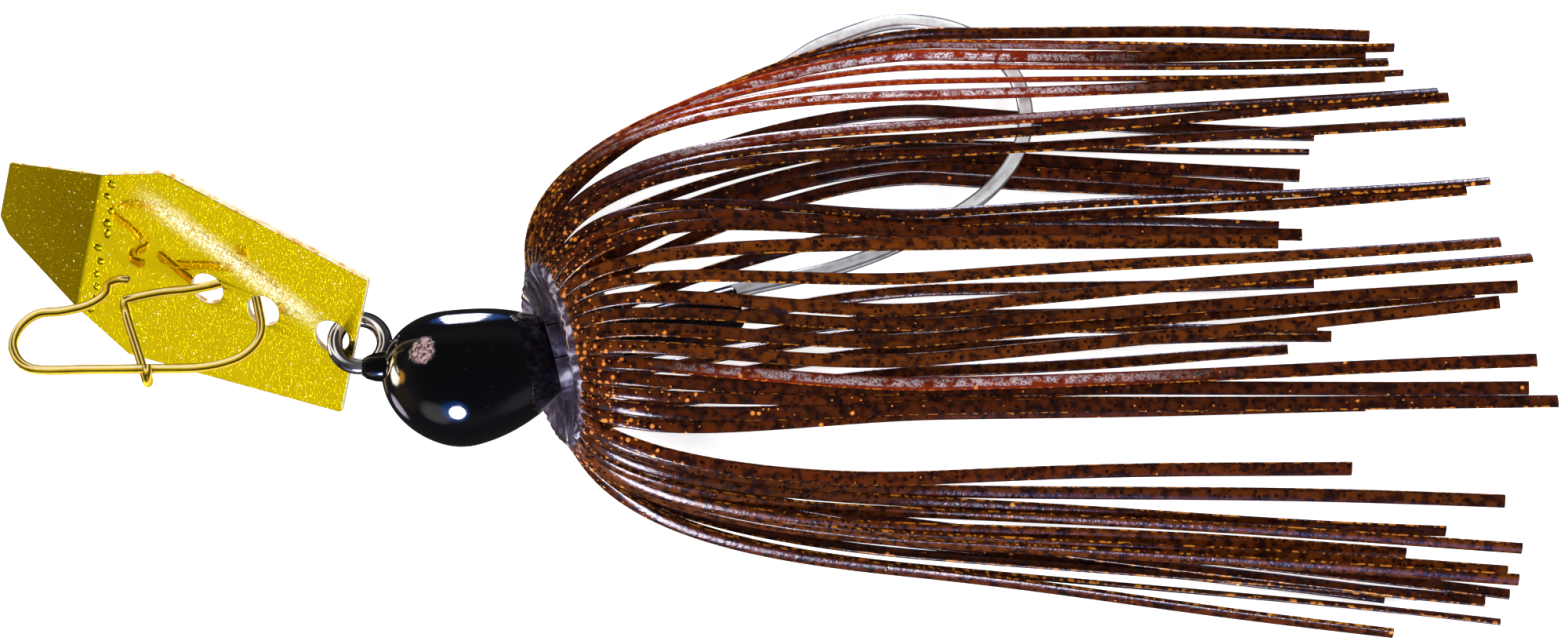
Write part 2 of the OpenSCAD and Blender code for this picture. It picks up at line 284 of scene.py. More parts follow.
def smooth(points, steps):
    """Points along a smooth curve through the given ones, with steps between each two."""
    p = [Vector(q) for q in points]
    out = []
    for i in range(len(p) - 1):
        a, b, c, d = p[max(i - 1, 0)], p[i], p[i + 1], p[min(i + 2, len(p) - 1)]
        for j in range(steps):
            f = j / steps
            out.append(0.5 * (2 * b + (c - a) * f + (2 * a - 5 * b + 4 * c - d) * f * f
                              + (3 * b - 3 * c + d - a) * f ** 3))
    return out + [p[-1]]


def arc(centre, radius, start, stop, steps):
    """Points along an arc in the XY plane, angles in degrees."""
    turns = [math.radians(start + (stop - start) * j / steps) for j in range(steps + 1)]
    return [Vector(centre) + radius * Vector((math.cos(t), math.sin(t), 0)) for t in turns]


def bezier(a, b, c, d, u):
    v = 1 - u
    return a * v ** 3 + b * (3 * v * v * u) + c * (3 * v * u * u) + d * u ** 3


def round_axis(radius, angle, t):
    """The point at t along Z and at the angle round it."""
    return Vector((radius * math.cos(angle), radius * math.sin(angle), t))


def tangents(path):
    last = len(path) - 1
    return [(path[min(i + 1, last)] - path[max(i - 1, 0)]).normalized() for i in range(len(path))]


class Shape:
    """A mesh in the making: points with their attributes, and faces with their material's number."""

    def __init__(self):
        self.points = []
        self.faces = []
        self.slots = []
        self.values = {}

    def point(self, place, **values):
        self.points.append(place)
        for key in set(values) | set(self.values):
            column = self.values.setdefault(key, [0.0] * (len(self.points) - 1))
            column.append(values.get(key, 0.0))
        return len(self.points) - 1

    def face(self, corners, slot=0):
        self.faces.append(corners)
        self.slots.append(slot)

    def rings(self, rings, slot=0, loop=False):
        """Joins rings of point numbers with quads, and closes both ends or makes a loop."""
        pairs = list(zip(rings, rings[1:])) + ([(rings[-1], rings[0])] if loop else [])
        for one, two in pairs:
            count = len(one)
            for k in range(count):
                self.face((one[k], one[(k + 1) % count], two[(k + 1) % count], two[k]), slot)
        if not loop:
            self.face(tuple(reversed(rings[0])), slot)
            self.face(tuple(rings[-1]), slot)

    def object(self, name, materials, matrix=None, sharp=40):
        """The finished piece in metres; matrix places its own millimetres in the frame's."""
        mesh = bpy.data.meshes.new(name)
        place = matrix or Matrix.Identity(4)
        mesh.from_pydata([place @ Vector(p) * MM for p in self.points], [], self.faces)
        mesh.polygons.foreach_set("material_index", self.slots)
        for key, column in self.values.items():
            mesh.attributes.new(key, "FLOAT", "POINT").data.foreach_set("value", column)
        return finish_mesh(mesh, name, materials, sharp)


def finish_mesh(mesh, name, materials, sharp):
    """Faces outward, smooth but for edges sharper than the angle, then linked as an object."""
    work = bmesh.new()
    work.from_mesh(mesh)
    bmesh.ops.recalc_face_normals(work, faces=work.faces)
    work.to_mesh(mesh)
    work.free()
    mesh.polygons.foreach_set("use_smooth", [True] * len(mesh.polygons))
    mesh.set_sharp_from_angle(angle=math.radians(sharp))
    for material in materials:
        mesh.materials.append(material)
    piece = bpy.data.objects.new(name, mesh)
    bpy.context.scene.collection.objects.link(piece)
    level = piece.modifiers.new("flat_faces", "WEIGHTED_NORMAL")
    level.keep_sharp = True
    return piece


# A wire's rounded end: its radius and its length, as shares of the wire's radius
END_RADIUS = 0.72
END_LENGTH = 0.28


def add_tube(shape, path, radii, sides=20):
    """A round wire along the path, its ends slightly rounded; `along` runs from 0 to 1."""
    path = [Vector(p) for p in path]
    last = len(path) - 1
    tangent = tangents(path)
    normal = Vector((0.1, 0.2, 1.0))
    rings = []
    places = [(path[0], END_RADIUS * radii[0], 0)]
    places += [(p, r, i) for i, (p, r) in enumerate(zip(path, radii))]
    places[1] = (path[0] + tangent[0] * END_LENGTH * radii[0], radii[0], 0)
    places[-1] = (path[-1] - tangent[-1] * END_LENGTH * radii[-1], radii[-1], last)
    places.append((path[-1], END_RADIUS * radii[-1], last))
    for p, r, i in places:
        t = tangent[i]
        normal = (normal - normal.dot(t) * t).normalized()
        side = t.cross(normal)
        turns = [2 * math.pi * k / sides for k in range(sides)]
        rings.append([shape.point(p + r * (math.cos(a) * normal + math.sin(a) * side),
                                  along=i / last) for a in turns])
    shape.rings(rings)


# ---------------------------------------------------------------- the lure's own frames, in millimetres

# The eye's middle and the radius of its wire's middle line, in the hook's plane
EYE_C = Vector((-8.6, 3.2, 0))
EYE_R = 2.1
EYE_FRONT = EYE_C - Vector((EYE_R, 0, 0))
# How far the head's axis rises to the bend's side, and its nose's direction beyond that (degrees)
HEAD_RISE = 15.5
NOSE_RISE = 15.8
# From the eye's front to the blade's hook hole, and how the resting blade is turned (degrees)
HOLE_OFFSET = Vector((-0.48, 0.76, -0.09))
BLADE_TURN = (37.5, -11, -21.5)
# The middle between the snap's two holes along the blade, and how far the snap leans over (degrees)
SNAP_X = -10.5
SNAP_LEAN = 18


def hook_frame():
    """From the hook's own plane to the frame: X along the lure, Y to the bend, 0 the ball's centre."""
    joint = JOINTS["blade_swing"]
    y = Vector(joint["axis"]).normalized()
    x = Vector((1, 0, 0))
    axes = Matrix((x, y, x.cross(y))).transposed()
    origin = Vector(joint["pos_m"]) / MM - axes @ EYE_FRONT
    return Matrix.Translation(origin) @ axes.to_4x4()


def head_frame():
    """The head's axis as Z, from the ball's centre to the tail."""
    rise = Matrix.Rotation(math.radians(HEAD_RISE), 4, "Z")
    return hook_frame() @ rise @ Matrix.Rotation(math.radians(90), 4, "Y")


def blade_frame():
    """The blade's plate: X to the rear, Z the face that the snap stands on, 0 the hook hole."""
    turn = Euler([math.radians(a) for a in BLADE_TURN], "XYZ")
    return Matrix.Translation(hook_frame() @ (EYE_FRONT + HOLE_OFFSET)) @ turn.to_matrix().to_4x4()


def snap_frame():
    """The snap: X along the blade, Y off the plate."""
    return (blade_frame() @ Matrix.Translation((SNAP_X, 0, 0))
            @ Matrix.Rotation(math.radians(90 + SNAP_LEAN), 4, "X"))


# ---------------------------------------------------------------- materials

# The directions that a wire's painted highlight line and the eye's painted glint face
WIRE_LIT = (-0.25, 0.45, 0.86)
EYE_LIT = (-0.35, 0.35, 0.87)


def nickel():
    """Bright nickel on the bend, black nickel at the eye; `along` runs from the eye to the point.

    A round wire's bright and dark bands are painted highlight and shade, set by the way its surface
    faces.
    """
    nodes = material_nodes("hook_nickel")
    along = nodes.attribute("along")
    tone = nodes.ramp(along, (0.0, (0.52, 0.46, 0.50)), (0.30, (0.46, 0.44, 0.48)),
                      (0.42, (0.90, 0.92, 0.96)), (0.66, (1.0, 1.0, 1.0)))
    blot = nodes.noise(0.9 * MM, 4)
    colour = nodes.mix(nodes.ramp(blot, (0.48, 0.0), (0.66, 0.35)), tone, (0.25, 0.25, 0.30))
    # Painted shade and highlight: darker where the wire faces sideways, brightest where it faces up
    shade = nodes.ramp(nodes.facing(Z_UP), (0.2, 0.05), (0.5, 0.22), (0.74, 1.0), (0.9, 0.85))
    # A painted reflection: a dark brown band along the side that faces -Y
    band = nodes.ramp(nodes.facing((0, -1, 0)), (0.22, 0.0), (0.36, 0.8), (0.52, 0.8), (0.62, 0.0))
    colour = nodes.tint(colour, nodes.mix(band, shade, (0.10, 0.06, 0.05)))
    scratch = nodes.noise(0.12 * MM, 3)
    rough = nodes.ramp(scratch, (0.3, 0.05), (0.8, 0.16))
    # A painted glint on the eye: pale and without metal where it faces EYE_LIT
    glint = nodes.ramp(nodes.facing(EYE_LIT), (0.92, 0.0), (0.95, 1.0), (0.975, 1.0), (0.99, 0.0))
    glint = nodes.math("MULTIPLY", glint, nodes.ramp(along, (0.26, 0.85), (0.32, 0.0)))
    colour = nodes.mix(glint, colour, (1.0, 0.94, 0.84))
    metal = nodes.ramp(along, (0.3, 0.96), (0.45, 0.25))
    metal = nodes.math("SUBTRACT", metal, glint, clamp=True)
    return nodes.finish(Base_Color=colour, Metallic=metal, Roughness=rough,
                        Normal=nodes.bump(scratch, 0.01 * MM, 0.25))


# The painted highlight streak on the blade, between two points of its plate (mm), and its half width
STREAK = [Vector((-19.2, 7.0)), Vector((0.8, 0.3))]
STREAK_HALF = 1.1


def gold_plate():
    """Mirror gold on stamped sheet: a fine grain, painted glint specks and one painted highlight
    streak.
    """
    nodes = material_nodes("blade_gold")
    place = nodes.place()
    axes = blade_frame()
    origin = axes.translation * MM
    from_origin = nodes.add("ShaderNodeVectorMath", {0: place, 1: tuple(origin)},
                            operation="SUBTRACT").outputs[0]
    run = (STREAK[1] - STREAK[0]).normalized()
    plate_x, plate_y = axes.col[0].xyz, axes.col[1].xyz
    along_plate = nodes.dot(from_origin, plate_x / MM)
    along = nodes.dot(from_origin, (plate_x * run.x + plate_y * run.y) / MM)
    across = nodes.dot(from_origin, (plate_y * run.x - plate_x * run.y) / MM)
    start, stop = (p.dot(run) for p in STREAK)
    middle = STREAK[0].y * run.x - STREAK[0].x * run.y
    ragged = nodes.math("MULTIPLY", nodes.noise(0.35 * MM, 4), 1.6)
    off = nodes.math("ABSOLUTE", nodes.math("SUBTRACT", across, middle))
    streak = nodes.between(nodes.math("ADD", off, ragged), 0.5 + 1.7 * STREAK_HALF, 0.5)
    streak = nodes.math("MULTIPLY", streak, nodes.between(along, start - 0.5, start + 4))
    streak = nodes.math("MULTIPLY", streak, nodes.between(along, stop, stop - 5))
    grain = nodes.cells(0.13 * MM)
    # Painted glints: pale yellow specks on the grain, with less metal below
    glint_speck = nodes.ramp(grain.outputs["Color"], (0.925, 0.0), (0.95, 1.0))
    pit = nodes.ramp(grain.outputs["Color"], (0.06, 1.0), (0.12, 0.0))
    cloud = nodes.noise(2.5 * MM, 3)
    cloud = nodes.math("MULTIPLY", cloud, 0.5)
    colour = nodes.mix(cloud, (0.93, 0.70, 0.004), (0.80, 0.56, 0.003))
    colour = nodes.mix(nodes.math("MULTIPLY", pit, 0.35), colour, (0.35, 0.22, 0.003))
    colour = nodes.mix(nodes.math("MULTIPLY", glint_speck, 0.9), colour, (1.0, 0.92, 0.38))
    # The painted highlight streak: pale cream and sparkling, with less metal below
    sparkle = nodes.ramp(nodes.cells(0.12 * MM).outputs["Color"], (0.35, 0.3), (0.7, 1.0))
    shine = nodes.math("MULTIPLY", streak, sparkle)
    colour = nodes.mix(shine, colour, (1.0, 1.0, 0.74))
    normal = nodes.bump(nodes.noise(5 * MM, 2), 0.06 * MM, 0.3)
    normal = nodes.bump(grain.outputs["Color"], 0.012 * MM, 0.4, normal)
    rough = nodes.ramp(nodes.noise(0.1 * MM, 2), (0.3, 0.04), (0.75, 0.09))
    front = nodes.between(along_plate, -23, -33)
    # Less metal under the painted highlight streak and glints, so their pale colour shows
    highlight_unmetal = nodes.math("MULTIPLY", shine, 0.85)
    highlight_unmetal = nodes.math("ADD", highlight_unmetal, nodes.math("MULTIPLY", glint_speck, 0.55))
    highlight_unmetal = nodes.math("ADD", highlight_unmetal, nodes.math("MULTIPLY", front, 0.03))
    metal = nodes.math("SUBTRACT", 0.96, highlight_unmetal, clamp=True)
    return nodes.finish(Base_Color=colour, Metallic=metal, Roughness=rough, Normal=normal,
                        Specular_IOR_Level=0.0)


def plate_edge_highlight():
    """The cut edge of the gold sheet and of its holes: orange brass, painted pale cream as an edge
    highlight.
    """
    nodes = material_nodes("blade_edge_highlight")
    patchy_tone = nodes.noise(0.6 * MM, 3)
    # Orange brass that turns to a painted pale cream edge highlight
    colour = nodes.ramp(patchy_tone, (0.35, (0.80, 0.36, 0.06)), (0.5, (1.0, 0.80, 0.45)),
                        (0.7, (1.0, 0.93, 0.75)))
    return nodes.finish(Base_Color=colour, Metallic=0.3, Roughness=0.25)


def gold_wire():
    """Gold-plated spring wire with faint drawing lines; its shade and bright line are painted by the
    way it faces.
    """
    nodes = material_nodes("snap_gold")
    patchy_tone = nodes.ramp(nodes.noise(0.8 * MM, 3), (0.45, 0.0), (0.7, 0.6))
    colour = nodes.mix(patchy_tone, (1.0, 0.66, 0.04), (0.72, 0.42, 0.02))
    turned = nodes.facing(WIRE_LIT)
    # Painted shade and highlight: dark and bright bands by how the wire faces WIRE_LIT
    shade = nodes.ramp(turned, (0.0, 0.5), (0.15, 0.8), (0.32, 0.9), (0.45, 0.06), (0.68, 0.05),
                       (0.82, 0.40), (0.90, 0.8), (0.96, 0.3), (1.0, 0.12))
    colour = nodes.tint(colour, shade)
    # A painted highlight: a thin pale cream line
    line = nodes.ramp(turned, (0.90, 0.0), (0.93, 0.8), (0.95, 0.8), (0.975, 0.0))
    colour = nodes.mix(line, colour, (1.0, 0.88, 0.50))
    fine = nodes.noise(0.08 * MM, 3)
    return nodes.finish(Base_Color=colour, Metallic=0.2, Specular_IOR_Level=0.0,
                        Roughness=nodes.ramp(fine, (0.3, 0.06), (0.8, 0.18)),
                        Normal=nodes.bump(fine, 0.008 * MM, 0.3))


def black_paint(chip):
    """Thick gloss black over lead, with one chipped spot of the given place (m)."""
    nodes = material_nodes("head_black")
    place = nodes.place()
    away = nodes.add("ShaderNodeVectorMath", {0: place, 1: tuple(chip)}, operation="DISTANCE")
    ragged = nodes.math("MULTIPLY", nodes.noise(0.5 * MM, 4), 1.1 * MM)
    distance = nodes.math("ADD", away.outputs["Value"], ragged)
    bare = nodes.between(distance, 1.95 * MM, 1.65 * MM)
    lead = nodes.noise(0.25 * MM, 4)
    lead = nodes.ramp(lead, (0.42, (0.03, 0.02, 0.02)), (0.58, (0.46, 0.30, 0.30)))
    dust = nodes.cells(0.8 * MM)
    dot = nodes.ramp(dust.outputs["Distance"], (0.03, 0.5), (0.06, 0.0))
    colour = nodes.mix(bare, nodes.mix(dot, (0.0012, 0.0012, 0.0018), (0.1, 0.1, 0.14)), lead)
    normal = nodes.bump(nodes.noise(1.6 * MM, 2), 0.10 * MM, 0.5)
    normal = nodes.bump(nodes.noise(0.5 * MM, 3), 0.02 * MM, 0.5, normal)
    normal = nodes.bump(nodes.math("MULTIPLY", bare, nodes.noise(0.2 * MM, 3)), 0.15 * MM, 0.8, normal)
    rough = nodes.mix(bare, (0.1, 0.1, 0.1), (0.5, 0.5, 0.5))
    coat = nodes.math("SUBTRACT", 1.0, bare)
    return nodes.finish(Base_Color=colour, Roughness=rough, Normal=normal, Coat_Weight=coat,
                        Coat_Roughness=0.05, Specular_IOR_Level=0.2)


def silicone(name, body, deep, flake, flake_share, pepper_share):
    """Translucent flat-cut silicone: a tone that varies from strand to strand, flakes and pepper.

    Along a strand the waist gets a painted red glow and painted glitter highlight, as far as its
    `sheen` says.
    """
    nodes = material_nodes(name)
    strand = nodes.attribute("strand")
    across = nodes.attribute("across")
    along = nodes.attribute("along")
    near_hub = nodes.ramp(along, (0.0, 1.0), (0.12, 0.75), (0.3, 0.0))
    tone = nodes.mix(nodes.between(nodes.noise(0.8 * MM, 4), 0.40, 0.64), body, deep)
    tone = nodes.mix(nodes.math("MULTIPLY", strand, 0.7), tone, deep)
    # Painted shade: each strand darker towards its two sides
    tone = nodes.mix(nodes.math("MULTIPLY", nodes.between(across, 0.62, 0.9), 0.6), tone, deep)
    pepper = nodes.cells(0.42 * MM)
    dark = nodes.between(pepper.outputs["Color"], 1 - pepper_share, 1.01 - pepper_share)
    dark = nodes.math("MULTIPLY", dark, nodes.between(pepper.outputs["Distance"], 0.44, 0.36))
    tone = nodes.mix(nodes.math("MULTIPLY", dark, 0.92), tone, (0.004, 0.002, 0.002))
    flakes = 0.0
    for size, share, extra in ((0.52, flake_share, 0.34), (0.24, flake_share, 0.25)):
        cell = nodes.cells(size * MM)
        pick = nodes.math("ADD", cell.outputs["Color"], nodes.math("MULTIPLY", near_hub, extra))
        part = nodes.math("MULTIPLY", nodes.between(pick, 1 - share, 1.01 - share),
                          nodes.between(cell.outputs["Distance"], 0.46, 0.24))
        flakes = nodes.math("MAXIMUM", flakes, part)
    copper = nodes.mix(nodes.noise(0.3 * MM, 2), flake, (1.0, 0.42, 0.08))
    colour = nodes.mix(flakes, tone, copper)
    # A painted glow: golden-orange dashes along each strand's edges, standing for light through them
    dashes = nodes.between(nodes.noise(0.5 * MM, 3), 0.50, 0.60)
    edge = nodes.math("MULTIPLY", nodes.between(across, 0.88, 0.99), dashes)
    colour = nodes.mix(nodes.math("MULTIPLY", edge, 0.7), colour, (0.80, 0.26, 0.015))
    # Painted light on the strands that sheen marks: a red glow over the waist, then pale glitter
    # highlights
    reach = nodes.math("MULTIPLY", nodes.between(along, 0.2, 0.4), nodes.between(along, 0.8, 0.6))
    lit = nodes.math("MULTIPLY", nodes.attribute("sheen"), reach)
    colour = nodes.mix(nodes.math("MULTIPLY", lit, 0.5), colour, (0.55, 0.035, 0.003))
    highlight_grain = nodes.between(nodes.noise(0.16 * MM, 3), 0.40, 0.54)
    highlight_grain = nodes.math("MULTIPLY", highlight_grain, nodes.between(nodes.noise(0.9 * MM, 4), 0.38, 0.54))
    painted_glitter = nodes.math("MULTIPLY", lit, highlight_grain)
    painted_glitter = nodes.math("MULTIPLY", painted_glitter, nodes.between(across, 0.8, 0.35))
    colour = nodes.mix(painted_glitter, colour, (1.0, 0.95, 1.0))
    normal = nodes.bump(nodes.noise(0.45 * MM, 3), 0.05 * MM, 0.6)
    normal = nodes.bump(nodes.noise(0.13 * MM, 2), 0.015 * MM, 0.6, normal)
    rough = nodes.ramp(nodes.noise(0.7 * MM, 2), (0.35, 0.1), (0.7, 0.24))
    skin = nodes.add("ShaderNodeBsdfPrincipled", {
        "Base Color": colour, "Roughness": rough, "Normal": normal, "Specular IOR Level": 0.45,
        "Specular Tint": (1.0, 0.84, 0.88), "Metallic": nodes.math("MULTIPLY", flakes, 0.15),
        "Coat Weight": 0.4, "Coat Roughness": 0.1, "Coat Normal": normal})
    warm = nodes.mix(0.35, colour, (0.45, 0.09, 0.005))
    through = nodes.add("ShaderNodeBsdfTranslucent", {"Color": warm})
    both = nodes.add("ShaderNodeMixShader", {"Fac": 0.2, 1: skin.outputs[0], 2: through.outputs[0]})
    return nodes.output(both.outputs[0])


def web_silicone():
    """The uncut web: smoky lavender-brown silicone, glossy, with radial smears."""
    nodes = material_nodes("web_silicone")
    cloud = nodes.noise(1.3 * MM, 5, 0.6)
    colour = nodes.ramp(cloud, (0.32, (0.016, 0.009, 0.008)), (0.48, (0.042, 0.029, 0.045)),
                        (0.60, (0.10, 0.08, 0.13)), (0.72, (0.26, 0.23, 0.33)))
    # Lighter lavender in patches towards the rim: partly the thin silicone's own colour, partly a
    # painted highlight of its glossy edge
    rim = nodes.between(nodes.attribute("edge"), 0.8, 1.0)
    rim = nodes.math("MULTIPLY", rim, nodes.between(nodes.noise(1.1 * MM, 3), 0.48, 0.62))
    colour = nodes.mix(rim, colour, (0.46, 0.42, 0.50))
    normal = nodes.bump(nodes.noise(1.2 * MM, 2), 0.14 * MM, 0.5)
    return nodes.finish(Base_Color=colour, Roughness=nodes.ramp(cloud, (0.3, 0.12), (0.7, 0.35)),
                        Normal=normal, Specular_IOR_Level=0.5, Coat_Weight=0.45, Coat_Roughness=0.08)


def band_rubber():
    nodes = material_nodes("band_rubber")
    dust = nodes.noise(0.3 * MM, 3)
    colour = nodes.ramp(dust, (0.3, (0.02, 0.018, 0.018)), (0.8, (0.06, 0.055, 0.055)))
    return nodes.finish(Base_Color=colour, Roughness=0.65, Normal=nodes.bump(dust, 0.04 * MM, 0.6))


# ---------------------------------------------------------------- the blade

PLATE_T = 0.6
# Where the front flange is folded, by how much, and over what length
FOLD_LEN = 22.2
FOLD_ANGLE = math.radians(12)
FOLD_ZONE = 0.7
FOLD_CUTS = 8
OUTLINE = [(2.5, -7.1), (2.5, 7.1), (-16.9, 9.75), (-22.2, 7.15), (-31.2, 3.3), (-31.2, -2.5),
           (-30.1, -3.8), (-22.2, -7.15), (-16.9, -9.75)]
# Each hole's middle and diameter, a little wider than in the CAD so that the wires swing clear
BLADE_HOLES = [(0.35, 0.1, 3.1), (-6, 0, 2.85), (-11.2, 0, 2.85)]
HOLE_SIDES = 56
EDGE_ROUND = 0.1
CORNER_ROUND = 0.3
# The row of small stamped bumps behind the fold, and how deep each one's middle lies in the plate
DIMPLES = 11
DIMPLE_X = -21.1
DIMPLE_REACH = 6.7
DIMPLE_SUNK = 0.02


def rounded(corners, radius):
    """A closed outline with each corner turned by a small curve."""
    out = []
    steps = 5
    count = len(corners)
    for i, corner in enumerate(corners):
        before, here, after = (Vector(corners[j % count]) for j in (i - 1, i, i + 1))
        start = here + (before - here).normalized() * radius
        stop = here + (after - here).normalized() * radius
        for j in range(steps + 1):
            f = j / steps
            out.append(start * (1 - f) ** 2 + here * (2 * f * (1 - f)) + stop * f * f)
    return out


def plate_mesh():
    """The flat plate with its holes and rounded edges, in millimetres, before the fold."""
    data = bpy.data.curves.new("plate", "CURVE")
    data.dimensions = "2D"
    data.fill_mode = "BOTH"
    data.extrude = PLATE_T / 2 - EDGE_ROUND
    data.bevel_depth = EDGE_ROUND
    data.bevel_resolution = 2
    data.offset = -EDGE_ROUND
    loops = [rounded(OUTLINE, CORNER_ROUND)]
    loops += [arc((x, y, 0), d / 2, 0, 360, HOLE_SIDES)[:-1] for x, y, d in BLADE_HOLES]
    for loop in loops:
        spline = data.splines.new("POLY")
        spline.points.add(len(loop) - 1)
        for point, place in zip(spline.points, loop):
            point.co = (place.x, place.y, 0, 1)
        spline.use_cyclic_u = True
    holder = bpy.data.objects.new("plate", data)
    bpy.context.scene.collection.objects.link(holder)
    mesh = bpy.data.meshes.new_from_object(holder)
    bpy.data.objects.remove(holder)
    return mesh


def folded(p):
    """Where a point of the flat plate goes when the front flange is bent down."""
    past = max(0.0, min(FOLD_ZONE, -FOLD_LEN + FOLD_ZONE / 2 - p.x))
    angle = FOLD_ANGLE * past / FOLD_ZONE
    radius = FOLD_ZONE / FOLD_ANGLE
    x = -FOLD_LEN + FOLD_ZONE / 2 - radius * math.sin(angle)
    z = -radius * (1 - math.cos(angle))
    beyond = max(0.0, -FOLD_LEN - FOLD_ZONE / 2 - p.x)
    x -= beyond * math.cos(FOLD_ANGLE)
    z -= beyond * math.sin(FOLD_ANGLE)
    x += max(0.0, p.x + FOLD_LEN - FOLD_ZONE / 2)
    return Vector((x - p.z * math.sin(angle), p.y, z + p.z * math.cos(angle)))


def add_dimples(work):
    """The row of bumps, each a little off its place and its size."""
    rng = random.Random(5)
    for k in range(DIMPLES):
        y = DIMPLE_REACH * (2 * k / (DIMPLES - 1) - 1)
        x = DIMPLE_X + rng.uniform(-0.35, 0.35)
        y += rng.uniform(-0.25, 0.25)
        size = (rng.uniform(0.26, 0.42), rng.uniform(0.32, 0.52), rng.uniform(0.09, 0.15), 1)
        bump = Matrix.Translation((x, y, PLATE_T / 2 - DIMPLE_SUNK)) @ Matrix.Diagonal(size)
        bmesh.ops.create_uvsphere(work, u_segments=16, v_segments=9, radius=1, matrix=bump)


def make_blade():
    mesh = plate_mesh()
    work = bmesh.new()
    work.from_mesh(mesh)
    bmesh.ops.remove_doubles(work, verts=work.verts, dist=0.001)
    for i in range(FOLD_CUTS + 1):
        x = -FOLD_LEN + FOLD_ZONE * (i / FOLD_CUTS - 0.5)
        everything = list(work.verts) + list(work.edges) + list(work.faces)
        bmesh.ops.bisect_plane(work, geom=everything, plane_co=(x, 0, 0), plane_no=(1, 0, 0), dist=1e-5)
    add_dimples(work)
    for face in work.faces:
        upright = abs(face.normal.z) < 0.8
        inside = abs(face.calc_center_median().z) < PLATE_T / 2 - 0.03
        face.material_index = int(upright and inside)
    place = blade_frame()
    for vertex in work.verts:
        vertex.co = place @ folded(vertex.co) * MM
    work.to_mesh(mesh)
    work.free()
    piece = finish_mesh(mesh, "blade_plate", [gold_plate(), plate_edge_highlight()], 15)
    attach(piece, "blade_body")
    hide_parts("blade")


# ---------------------------------------------------------------- the snap and the hook

# The snap's wire, in its own frame: the arm through the hole, the nose, the long run, the way back
# through the other hole, and the latch
SNAP_WIRE = 0.8
ARM = [(-7.1, 1.9, 0.6), (-8, 2.3, 0.7), (-8.5, 3.3, 0.5), (-8.2, 4.4, 0.1), (-8.5, 5.5, 0)]
LOOP = [(-9.3, 6.6, 0), (-10.7, 7.8, 0), (-12.4, 9, 0), (-13.1, 11.1, 0), (-12.5, 13.2, 0),
        (-10.3, 14.2, 0)]
RUN = [(-5.9, 12.1, 0), (-1.8, 10, 0), (2.2, 7.9, 0), (4.4, 6, 0), (5.3, 4.2, 0), (5.3, 2.4, 0),
       (4.3, 0.6, 0)]
BACK = [(2.7, -1.3, 0), (0.7, -1.2, 0), (-0.8, 0, 0), (-2.2, 1.1, 0), (-4, 2.3, 0), (-5.9, 3.9, 0)]
LATCH = [(-6.4, 4.4, 0.2), (-6, 5, 0.7), (-5.2, 6, 0.9), (-3.4, 8.1, 0.9), (-1.5, 10.4, 0.85),
         (-1.1, 10.9, 0.3), (-1.3, 10.7, -0.6), (-1.6, 10.2, -0.8)]


def make_snap():
    path = smooth(ARM + LOOP + RUN + BACK + LATCH, 7)
    shape = Shape()
    add_tube(shape, path, [SNAP_WIRE / 2] * len(path))
    piece = shape.object("snap_wire", [gold_wire()], snap_frame())
    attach(piece, "snap_body")
    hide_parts("snap")


# The hook's wire in its own plane. NECK holds the first two points' distances past the closed eye
HOOK_WIRE = 1.3
NECK = (0.8, 4)
SHANK = [(0, 0.6, 0), (8, 3.0, 0), (16, 5.6, 0), (23.8, 8.0, 0), (31.6, 9.9, 0), (38, 12.6, 0)]
BEND = [(44.2, 16.6, 0), (47.3, 21.6, 0), (46.7, 26.8, 0), (42.6, 30.8, 0), (36.6, 31.9, 0)]
POINT = [(30.7, 30.1, 0), (27.6, 28.5, 0), (24.4, 26.7, 0)]
# Over how many of its last points the wire is ground to its point
POINT_TAPER = 18
BARB = [(29.0, 28.85, 0), (30.2, 29.25, 0), (31.4, 29.25, 0), (32.7, 29.0, 0)]
BARB_RADII = [0.42, 0.34, 0.2, 0.04]
# The closed eye, from its free end to where the shank leaves it (degrees), and how much the paint
# that ran on to it thickens the wire
EYE_FROM = -52
EYE_TO = 270
EYE_STEPS = 66
EYE_PAINT = 1.03
PAINTED_STEPS = EYE_STEPS + 12


def make_hook():
    eye = arc(EYE_C, EYE_R, EYE_FROM, EYE_TO, EYE_STEPS)
    neck = [eye[-1] + Vector((d, 0, 0)) for d in NECK]
    path = eye + smooth(neck + [Vector(p) for p in SHANK + BEND + POINT], 9)
    last = len(path) - 1
    shape = Shape()
    ground = [max(0.05, min(1, ((last - i) / POINT_TAPER) ** 0.7)) for i in range(last + 1)]
    radii = [HOOK_WIRE / 2 * share for share in ground]
    for i in range(PAINTED_STEPS):
        radii[i] *= EYE_PAINT
    add_tube(shape, path, radii, 24)
    add_tube(shape, BARB, BARB_RADII, 14)
    piece = shape.object("hook_wire", [nickel()], hook_frame())
    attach(piece, "lure_body")
    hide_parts("hook")


# ---------------------------------------------------------------- the head

# The casting, along its axis from the ball's middle: the ball, its curved back, the skirt's seat and
# the trailer keeper. NOSE_LEN is how far the ball is drawn out in the nose's direction
BALL_R = 5.7
NOSE_LEN = 6.8
NOSE_TURN = math.radians(HEAD_RISE + NOSE_RISE)
NOSE_DIR = Vector((0, math.sin(NOSE_TURN), -math.cos(NOSE_TURN)))
BACK_T = 7.6
BACK_R = 3.5
SEAT_R = 3.0
SEAT_END = 13.6
KEEPER_R = 1.85
KEEPER_END = 24.2
HEAD_SIDES = 72
# The painted collar round the wire ahead of the nose, in the hook's plane, and its radii
COLLAR = [(-8.5, 1.1, 0), (-7.9, 1.05, 0), (-7.3, 1.05, 0), (-6.7, 1.1, 0), (-6.0, 1.2, 0),
          (-5.0, 1.2, 0)]
COLLAR_RADII = [0.74, 1.0, 1.2, 1.3, 1.45, 1.8]
# From the middle of the ball to the chip in the paint
CHIP_AT = Vector((-3.3, 2.6, 4.7))


